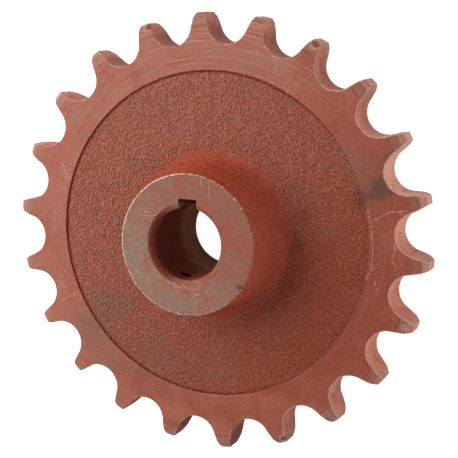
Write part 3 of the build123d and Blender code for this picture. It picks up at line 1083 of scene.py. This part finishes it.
# %% Scratches in families
def scratches_at(tree, place, angle, length, width, spacing):
    """A mask of strokes at an angle in degrees. Length, width and spacing are in millimetres."""
    wander = add(tree, "ShaderNodeTexNoise", inputs={"Vector": place, "Scale": per_mm(9), "Detail": 1.0})
    bent = add(tree, "ShaderNodeVectorMath", {"operation": "MULTIPLY_ADD"},
               {0: wander.outputs["Color"], 1: (4 * MM, 4 * MM, 0), 2: place})
    turned_place = add(tree, "ShaderNodeVectorRotate", {"rotation_type": "Z_AXIS"},
                       {"Vector": bent.outputs[0], "Angle": radians(-angle)})
    cells_long = spacing * length / width
    squeezed = add(tree, "ShaderNodeVectorMath", {"operation": "MULTIPLY"},
                   {0: turned_place.outputs[0], 1: (per_mm(cells_long), per_mm(spacing), 0)})
    cells = add(tree, "ShaderNodeTexVoronoi", {"voronoi_dimensions": "2D"},
                {"Vector": squeezed.outputs[0], "Scale": 1.0})
    stroke = add(tree, "ShaderNodeMapRange", inputs={"Value": cells.outputs["Distance"],
                                                     "From Min": 0.6 * width / spacing,
                                                     "From Max": 0.3 * width / spacing})
    chance = add(tree, "ShaderNodeSeparateColor", inputs={"Color": cells.outputs["Color"]})
    return add(tree, "ShaderNodeMath", {"operation": "MULTIPLY"},
               {0: stroke.outputs[0], 1: chance.outputs[1]}).outputs[0]


# %% [markdown]
# A long scratch is one of its kind, so it gets its own place: a few points, joined by straight strokes.
# A stroke is where a point lies close to a line and between its two ends. Drawn on a place that noise
# has pushed about a little, the line wobbles as a dragged corner does.

# %% Single scratches
def wobbling(tree, place, amount):
    """The place, pushed about by up to half an amount in millimetres."""
    push = add(tree, "ShaderNodeTexNoise", inputs={"Vector": place, "Scale": per_mm(3.5), "Detail": 2.0})
    centred = add(tree, "ShaderNodeVectorMath", {"operation": "SUBTRACT"},
                  {0: push.outputs["Color"], 1: (0.5, 0.5, 0.5)})
    return add(tree, "ShaderNodeVectorMath", {"operation": "MULTIPLY_ADD"},
               {0: centred.outputs[0], 1: (amount * MM, amount * MM, 0), 2: place}).outputs[0]


def stroke_between(tree, place, start, end, width):
    """A mask of one straight stroke between two points of the plan, in millimetres."""
    run = Vector((end[0] - start[0], end[1] - start[1], 0))
    from_start = add(tree, "ShaderNodeVectorMath", {"operation": "SUBTRACT"},
                     {0: place, 1: (start[0] * MM, start[1] * MM, 0)})
    limits = []
    for direction, middle, reach in ((Vector((-run.y, run.x, 0)), 0.0, width / 2 * MM),
                                     (run, run.length / 2 * MM, run.length / 2 * MM)):
        away = add(tree, "ShaderNodeVectorMath", {"operation": "DOT_PRODUCT"},
                   {0: from_start.outputs[0], 1: direction.normalized()})
        limits.append(add(tree, "ShaderNodeMath", {"operation": "COMPARE"},
                          {0: away.outputs["Value"], 1: middle, 2: reach}).outputs[0])
    return add(tree, "ShaderNodeMath", {"operation": "MULTIPLY"}, {0: limits[0], 1: limits[1]}).outputs[0]


def path_mask(tree, place, points, width):
    """A mask of one scratch that runs through several points of the plan."""
    return strongest(tree, [stroke_between(tree, place, start, end, width)
                            for start, end in zip(points, points[1:])])


# %% [markdown]
# Scuffs are three families of short scratches that cross, kept to the painted places, with small
# flakes of lost primer among them. The few long scratches, dragged by other parts in the crate, follow
# points of their own, and gaps in a noise make them skip as a dragged edge does.

# %% Scuffs and scratches
LONG_SCRATCHES = (((67.7, 17.0), (69.8, 11.5), (70.4, 4.2), (71.0, -2.3), (70.7, -7.3), (68.7, -11.2)),
                  ((70.4, 12.8), (73.2, 14.9), (77.2, 17.3), (84.3, 18.3)),
                  ((79.7, 5.2), (80.1, 2.0), (79.0, -2.2), (81.4, -5.2)), ((72.2, -10.8), (73.7, -15.2)),
                  ((-71.0, -36.9), (-64.0, -32.6)), ((-68.3, 17.5), (-71.5, 24.5)))

families = [scratches_at(tree, place, angle, length, 0.35, spacing)
            for angle, length, spacing in ((14, 2.6, 1.5), (-34, 2.0, 1.7), (72, 2.4, 1.9))]
scuff_mask = add(tree, "ShaderNodeMapRange", {"interpolation_type": "SMOOTHSTEP"},
                 {"Value": weighted(tree, scuff, (patches, 0.9)), "From Min": 0.6, "From Max": 1.4,
                  "To Max": 0.58}).outputs[0]
scuffed = add(tree, "ShaderNodeMath", {"operation": "MULTIPLY"},
              {0: scuff_mask, 1: strongest(tree, families)})
flakes = add(tree, "ShaderNodeTexNoise", inputs={"Vector": place, "Scale": per_mm(1.3), "Detail": 3.0,
                                                 "Roughness": 0.6}).outputs["Fac"]
flaked = add(tree, "ShaderNodeMapRange", {"interpolation_type": "SMOOTHSTEP"},
             {"Value": weighted(tree, flakes, (scuff_mask, 0.3)), "From Min": 0.72, "From Max": 0.86,
              "To Max": 0.35}).outputs[0]
wobbly = wobbling(tree, place, 1.0)
dragged = strongest(tree, [path_mask(tree, wobbly, points, 0.5) for points in LONG_SCRATCHES])
skips = add(tree, "ShaderNodeMapRange", {"interpolation_type": "SMOOTHSTEP"},
            {"Value": flakes, "From Min": 0.36, "From Max": 0.68, "To Max": 0.6})
long_part = add(tree, "ShaderNodeMath", {"operation": "MULTIPLY"}, {0: dragged, 1: skips.outputs[0]})
pale_marks = strongest(tree, [scuffed.outputs[0], flaked, long_part.outputs[0]])
primer = glaze(tree, primer, "#d3a695", pale_marks)
print("nodes so far:", len(tree.nodes))

# %% [markdown]
# Every edge has lost its primer here and there. The number painted on the edges is raised or lowered
# by a noise before it is cut off, so the bare line breaks up into chips. A bruise gets a pale rim,
# where the coat cracked off, round a dark red floor, where the iron was beaten down.

# %% Bare edges and bruises
chips = add(tree, "ShaderNodeTexNoise", inputs={"Vector": place, "Scale": per_mm(2.6), "Detail": 3.0,
                                                "Roughness": 0.65}).outputs["Fac"]
edge_gain = add(tree, "ShaderNodeMapRange",
                inputs={"Value": right_side, "To Min": 0.58, "To Max": 0.76}).outputs[0]
primer = glaze_where(tree, primer, "#c99c8a", weighted(tree, chips, (edge, edge_gain)), 0.98, 1.26, 0.8)
bruise_sum = weighted(tree, bruise, (chips, 1.0))
primer = glaze_where(tree, primer, "#c4a392", bruise_sum, 0.68, 0.9, 0.42)
primer = glaze_where(tree, primer, "#84281c", bruise_sum, 1.1, 1.35, 0.8)

turned_relief = weighted(tree, 0.0, (feed, 0.06), (fine, 0.10), (chips, 0.2), (pale_marks, -0.05))
sheen = add(tree, "ShaderNodeMapRange", inputs={"Value": dust_sum, "From Min": 0.4, "From Max": 1.0,
                                                "To Min": 0.45, "To Max": 0.65})
end_finish(tree, primer, sheen.outputs[0], 0.22, turned_relief)
print(turned.name, "has", len(tree.nodes), "nodes")

# %% [markdown]
# ## Finish 3: milled flanks under primer
# The cutter left the seats and flanks smooth, so the primer on them is even and slightly silky. The
# flanks are painted pale on the right, a painted highlight for the light that falls on them from that
# side, and dark at the bottom, painted shade. The seats at the top are darker too. The side is read
# from the direction outwards alone, the same at root and tip.

# %% Primer on the flanks
flanks, tree, place = start_finish("milled_flank_primed")
flat_place, radius = from_axis(tree, place)
outward = add(tree, "ShaderNodeVectorMath", {"operation": "NORMALIZE"}, {0: flat_place}).outputs["Vector"]
cloud = add(tree, "ShaderNodeTexNoise",
            inputs={"Vector": place, "Scale": per_mm(7), "Detail": 4.0}).outputs["Fac"]
primer = glaze_where(tree, colour("#b46957"), "#c88a77", cloud, 0.35, 0.65)
# Painted highlight: flanks that face the right are laid in paler, pinker colours.
primer = glaze(tree, primer, "#f2a288", towards(tree, outward, (0.995, -0.1, 0), 0.72, 0.9, 0.35, unit=1))
primer = glaze(tree, primer, "#f4bca6", towards(tree, outward, (0.93, 0.37, 0), 0.93, 1.0, 0.62, unit=1))
primer = glaze_where(tree, primer, "#c18b79", radius, 87 * MM, 92 * MM, 0.5)
# Painted shade: the flanks at the bottom of the sprocket are laid in a dark red.
primer = glaze(tree, primer, "#702a1a", towards(tree, place, (-0.15, -0.99, 0), 71, 88, 0.97))
# The seats of the teeth at the top are darker.
seat_share = towards(tree, place, (-0.25, 0.97, 0), 62, 84, 0.62)
primer = glaze_where(tree, primer, "#8a5240", radius, 90 * MM, 85 * MM, share=seat_share)
print("nodes so far:", len(tree.nodes))

# %% [markdown]
# The cutter went through from face to face, so the dirt in its marks lies in streaks that way. A
# Mapping node with a small scale along the axis draws a noise out into streaks. Edges and bruises are
# worn as on the turned faces, and a little more, because the chain's rollers touch here first.

# %% Streaks, edges and bruises of the flanks
edge, bruise = [add(tree, "ShaderNodeAttribute", {"attribute_name": name}).outputs["Fac"]
                for name in ("edge_wear", "bruise")]
upright = add(tree, "ShaderNodeMapping", inputs={"Vector": place, "Scale": (1, 1, 0.2)})
streaks = add(tree, "ShaderNodeTexNoise",
              inputs={"Vector": upright.outputs[0], "Scale": per_mm(1.2), "Detail": 2.0}).outputs["Fac"]
chips = add(tree, "ShaderNodeTexNoise", inputs={"Vector": place, "Scale": per_mm(3.0), "Detail": 3.0,
                                                "Roughness": 0.65}).outputs["Fac"]
primer = glaze_where(tree, primer, "#7c5445", streaks, 0.52, 0.7, 0.4)
primer = glaze_where(tree, primer, "#cda896", weighted(tree, chips, (edge, 0.72)), 0.94, 1.18, 0.85)
primer = glaze_where(tree, primer, "#6a2c22", weighted(tree, bruise, (chips, 0.8)), 0.95, 1.25, 0.85)
sheen = add(tree, "ShaderNodeMapRange", inputs={"Value": cloud, "To Min": 0.5, "To Max": 0.8})
end_finish(tree, primer, sheen.outputs[0], 0.07, weighted(tree, 0.0, (streaks, 0.06), (chips, 0.25)))
print(flanks.name, "has", len(tree.nodes), "nodes")

# %% [markdown]
# ## Finish 4: faced end of the hub
# The end of the hub is what a hand, a bench and the next part in the crate touch, so the primer there
# is rubbed thin. Grey-brown iron shows through it, most on one side, and red is left in blotches, most
# of them near the bore. To the eye it is duller and greyer than the rest, with a fine grit.

# %% Rubbed primer on the hub's face
hub_end, tree, place = start_finish("faced_iron_rubbed_primer")
radius = from_axis(tree, place)[1]
worn_side = towards(tree, place, (-0.62, -0.78, 0), -24, 24)
scuff, stain, patina, red_kept, edge = [
    add(tree, "ShaderNodeAttribute", {"attribute_name": name}).outputs["Fac"]
    for name in ("scuff", "stain", "patina", "blush", "edge_wear")]
cloud = add(tree, "ShaderNodeTexNoise", inputs={"Vector": place, "Scale": per_mm(6.5), "Detail": 5.0,
                                                "Roughness": 0.6, "Distortion": 0.5}).outputs["Fac"]
shifted = add(tree, "ShaderNodeMapping", inputs={"Vector": place, "Location": (0.07, 0.03, 0.11)})
blotches = add(tree, "ShaderNodeTexNoise",
               inputs={"Vector": shifted.outputs[0], "Scale": per_mm(8), "Detail": 3.0,
                       "Roughness": 0.5, "Distortion": 0.4}).outputs["Fac"]
fine = add(tree, "ShaderNodeTexNoise",
           inputs={"Vector": place, "Scale": per_mm(0.7), "Detail": 2.0}).outputs["Fac"]

grey_sum = weighted(tree, cloud, (worn_side, 0.24))
rubbed = glaze_where(tree, colour("#8a5341"), "#866453", grey_sum, 0.42, 0.82)
inwards = add(tree, "ShaderNodeMapRange", {"interpolation_type": "SMOOTHSTEP"},
              {"Value": radius, "From Min": 23 * MM, "From Max": 16 * MM}).outputs[0]
red_sum = weighted(tree, blotches, (inwards, 0.10), (red_kept, 0.2), (worn_side, -0.06))
rubbed = glaze_where(tree, rubbed, "#974535", red_sum, 0.42, 0.76, 0.62)
rubbed = glaze(tree, rubbed, "#7f7465", patina, cloud)
rubbed = glaze_where(tree, rubbed, "#ab8f80", weighted(tree, fine, (worn_side, 0.12)), 0.56, 0.82, 0.42)
rubbed = glaze_where(tree, rubbed, "#6d4437", fine, 0.45, 0.25, 0.3)
print("nodes so far:", len(tree.nodes))

# %% [markdown]
# The face has the same two kinds of scratches as the rim, finer here. Like its bare edge they are
# pale, because they go through to bright iron. A dark spot by the edge goes over them.

# %% Scratches on the hub's face
HUB_SCRATCHES = (((-21.5, 9.8), (-14.0, 10.6)), ((-14.2, 10.4), (-10.0, 14.5)), ((5.0, 27.6), (6.6, 23.8)),
                 ((9.0, 26.4), (9.6, 19.5)), ((-4.5, -17.5), (5.5, -18.2)))

families = [scratches_at(tree, place, angle, length, width, spacing)
            for angle, length, width, spacing in ((4, 3.0, 0.3, 1.0), (-16, 4.0, 0.25, 1.2),
                                                  (60, 3.0, 0.25, 2.0))]
scuff_mask = add(tree, "ShaderNodeMapRange", {"interpolation_type": "SMOOTHSTEP"},
                 {"Value": weighted(tree, scuff, (cloud, 0.9)), "From Min": 0.5, "From Max": 1.2,
                  "To Max": 0.55})
scuffed = add(tree, "ShaderNodeMath", {"operation": "MULTIPLY"},
              {0: scuff_mask.outputs[0], 1: strongest(tree, families)})
wobbly = wobbling(tree, place, 1.2)
dragged = strongest(tree, [stroke_between(tree, wobbly, start, end, 0.3) for start, end in HUB_SCRATCHES])
long_part = add(tree, "ShaderNodeMath", {"operation": "MULTIPLY"}, {0: dragged, 1: 0.3})
pale_marks = strongest(tree, [scuffed.outputs[0], long_part.outputs[0]])
rubbed = glaze(tree, rubbed, "#d6b8a8", pale_marks)
rubbed = glaze(tree, rubbed, "#4a3429", stain)
print("nodes so far:", len(tree.nodes))

# %% [markdown]
# The chamfer of the bore shares this finish, because it was cut in the same setting. On its left it
# is painted dark, brown iron near the face and red paint deeper in, and the darkness is also painted
# shade. The rim of the face is rubbed bare, most on the left, so a bright broken line runs round it.

# %% Chamfer and edge of the hub's face
inside = add(tree, "ShaderNodeMapRange", {"interpolation_type": "SMOOTHSTEP"},
             {"Value": radius, "From Min": (BORE_RADIUS + 2.3) * MM,
              "From Max": (BORE_RADIUS + 1.8) * MM}).outputs[0]
# Painted shade: the left of the chamfer is laid in dark brown and dark red.
shady = towards(tree, place, (-1, -0.15, 0), 1, 12, 0.95)
inside_part = add(tree, "ShaderNodeMath", {"operation": "MULTIPLY"}, {0: inside, 1: shady}).outputs[0]
chamfer_colour = glaze_where(tree, colour("#623620"), "#632010", radius,
                             (BORE_RADIUS + 1.2) * MM, (BORE_RADIUS + 0.7) * MM)
rubbed = add(tree, "ShaderNodeMix", {"data_type": "RGBA"},
             {0: inside_part, 6: rubbed, 7: chamfer_colour}).outputs[2]
chips = add(tree, "ShaderNodeTexNoise", inputs={"Vector": place, "Scale": per_mm(1.5), "Detail": 3.0,
                                                "Roughness": 0.65}).outputs["Fac"]
left_way = add(tree, "ShaderNodeVectorMath", {"operation": "DOT_PRODUCT"}, {0: place, 1: (-1, 0.1, 0)})
left_side = add(tree, "ShaderNodeMapRange", inputs={"Value": left_way.outputs["Value"], "From Min": -28 * MM,
                                                    "From Max": 28 * MM, "To Min": 0.45, "To Max": 0.68})
edge_sum = weighted(tree, chips, (edge, left_side.outputs[0]))
rubbed = glaze_where(tree, rubbed, "#dcc2ae", edge_sum, 0.96, 1.2, 0.9)

hub_relief = weighted(tree, 0.0, (fine, 0.08), (chips, 0.08), (pale_marks, -0.06))
sheen = add(tree, "ShaderNodeMapRange", inputs={"Value": cloud, "To Min": 0.45, "To Max": 0.7})
gloss = add(tree, "ShaderNodeMapRange", inputs={"Value": inside, "To Min": 0.25, "To Max": 0.08})
end_finish(tree, rubbed, sheen.outputs[0], gloss.outputs[0], hub_relief)
print(hub_end.name, "has", len(tree.nodes), "nodes")

# %% [markdown]
# ## Finish 5: bore
# Little primer drifts into the bore. Near the mouth it is painted dark, which is painted shade, and
# deeper in it never covered the iron, which has begun to brown, so the surface is paler and browner
# there. Bounced light hardly reaches it, and it looks dark all the same. A lighter red on the lower side
# of the wall is a painted highlight. The screw hole is painted almost black, painted shade. Height tells
# the mouth from the bottom, and radius tells the hole from the bore.

# %% Bore
bored, tree, place = start_finish("bored_iron_thin_primer")
radius = from_axis(tree, place)[1]
cloud = add(tree, "ShaderNodeTexNoise",
            inputs={"Vector": place, "Scale": per_mm(6), "Detail": 4.0}).outputs["Fac"]
fine = add(tree, "ShaderNodeTexNoise",
           inputs={"Vector": place, "Scale": per_mm(1.1), "Detail": 3.0}).outputs["Fac"]
brown_way = add(tree, "ShaderNodeVectorMath", {"operation": "DOT_PRODUCT"}, {0: place, 1: (0.94, 0.34, 0)})
far_end = towards(tree, place, (0, 0, 1), 28, 6)
brown_sum = weighted(tree, brown_way.outputs["Value"], (cloud, 8 * MM), (far_end, 26 * MM))
# Painted shade: the wall is laid darker near the mouth than deeper in.
paint_at = [glaze_where(tree, colour(red), brown, brown_sum, -4 * MM, 12 * MM)
            for red, brown in (("#653129", "#7a5740"), ("#9c5c4b", "#c49c80"))]
deep = towards(tree, place, (0, 0, 1), 41, 16)
thin = add(tree, "ShaderNodeMix", {"data_type": "RGBA"},
           {0: deep, 6: paint_at[0], 7: paint_at[1]}).outputs[2]
thin = glaze(tree, thin, "#87402e", towards(tree, place, (0, 0, 1), 40.5, 43.5, 0.9))
# Painted highlight: a lighter red on the lower side of the wall.
thin = glaze(tree, thin, "#a8523c", towards(tree, place, (0.3, -0.95, 0), 12.5, 15, 0.7))
thin = glaze_where(tree, thin, "#4b2417", fine, 0.5, 0.7, 0.4)
# Painted shade: the screw hole is laid almost black.
in_hole = add(tree, "ShaderNodeMath", {"operation": "GREATER_THAN"},
              {0: radius, 1: (BORE_RADIUS + 0.05) * MM})
thin = glaze(tree, thin, "#1c0f0a", in_hole.outputs[0])
sheen = add(tree, "ShaderNodeMapRange", inputs={"Value": cloud, "To Min": 0.7, "To Max": 0.9})
end_finish(tree, thin, sheen.outputs[0], 0.0, fine, 0.15)
print(bored.name, "has", len(tree.nodes), "nodes")

# %% [markdown]
# ## Finish 6: keyway
# A broach is pulled straight through, so its marks run along the axis. A Mapping node draws a noise
# out ten times in that direction. The walls are brown iron, because hardly any primer got in.

# %% Keyway
broached, tree, place = start_finish("broached_iron_browned")
upright = add(tree, "ShaderNodeMapping", inputs={"Vector": place, "Scale": (1, 1, 0.1)})
pulls = add(tree, "ShaderNodeTexNoise",
            inputs={"Vector": upright.outputs[0], "Scale": per_mm(0.8), "Detail": 2.0}).outputs["Fac"]
brown = glaze_where(tree, colour("#8a6448"), "#4c2c1c", pulls, 0.4, 0.65)
sheen = add(tree, "ShaderNodeMapRange", inputs={"Value": pulls, "To Min": 0.6, "To Max": 0.8})
end_finish(tree, brown, sheen.outputs[0], 0.0, pulls, 0.1)
print(broached.name, "has", len(tree.nodes), "nodes")

# %% [markdown]
# ## Which face has which finish
# Materials could be painted on by hand in the editor. A script can ask each face where it lies and
# which way it looks instead, and that is enough to tell how it was made: by the mould, the lathe, the
# cutter, the drill or the broach.

# %% Hand out the finishes
WALL = 0.35  # a normal that rises less than this belongs to a wall
FACING = 0.4  # and one that rises more than this, near an end of the hub, to that end
END_DEPTH = 1.2
SLACK = 0.05  # the middle of a flat face lies a little off the curve
SIDE_SLACK = 2  # the hub's side is uneven and off centre
STEP_INSIDE, STEP_OUTSIDE = 1, 1.2  # the wall of the web's step, from the web's radius

finishes = [cast_skin, turned, flanks, hub_end, bored, broached]
cut_mesh.materials.clear()
for material in finishes:
    cut_mesh.materials.append(material)


def finish_for(centre, normal):
    """The finish of a face, from its middle in millimetres and its normal."""
    radius = hypot(centre.x, centre.y)
    if abs(normal.z) < WALL and WEB_RADIUS - STEP_INSIDE < radius < WEB_RADIUS + STEP_OUTSIDE:
        return cast_skin
    if radius > WEB_RADIUS - SLACK:
        return turned if abs(normal.z) > WALL else flanks
    if radius > BOSS_ROOT_RADIUS:
        return cast_skin
    off_hole = centre - Vector((0, 0, HOLE_HEIGHT))
    off_hole -= hole_line * off_hole.dot(hole_line)
    in_hole = off_hole.length < HOLE_RADIUS + SLACK and radius < HUB_FACE_RADIUS + SIDE_SLACK
    if in_hole and abs(normal.dot(hole_line)) < 0.5:
        return bored
    if abs(normal.z) > FACING and not END_DEPTH < centre.z < HUB_LENGTH - END_DEPTH:
        return hub_end
    if abs(centre.x) < KEY_WIDTH / 2 + SAME and BORE_RADIUS * 0.9 < centre.y < KEY_FLOOR + SAME:
        return broached
    return bored if radius < BORE_RADIUS + 0.5 else cast_skin


for polygon in cut_mesh.polygons:
    polygon.material_index = finishes.index(finish_for(polygon.center / MM, polygon.normal))
for index, material in enumerate(finishes):
    print(material.name, sum(p.material_index == index for p in cut_mesh.polygons), "faces")

# %% [markdown]
# ## Hand over
# The piece rides on the part's only body and stands for its solid.

# %% Finish
NODE = "chain_sprocket"
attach(sprocket, "root")
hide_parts(NODE)
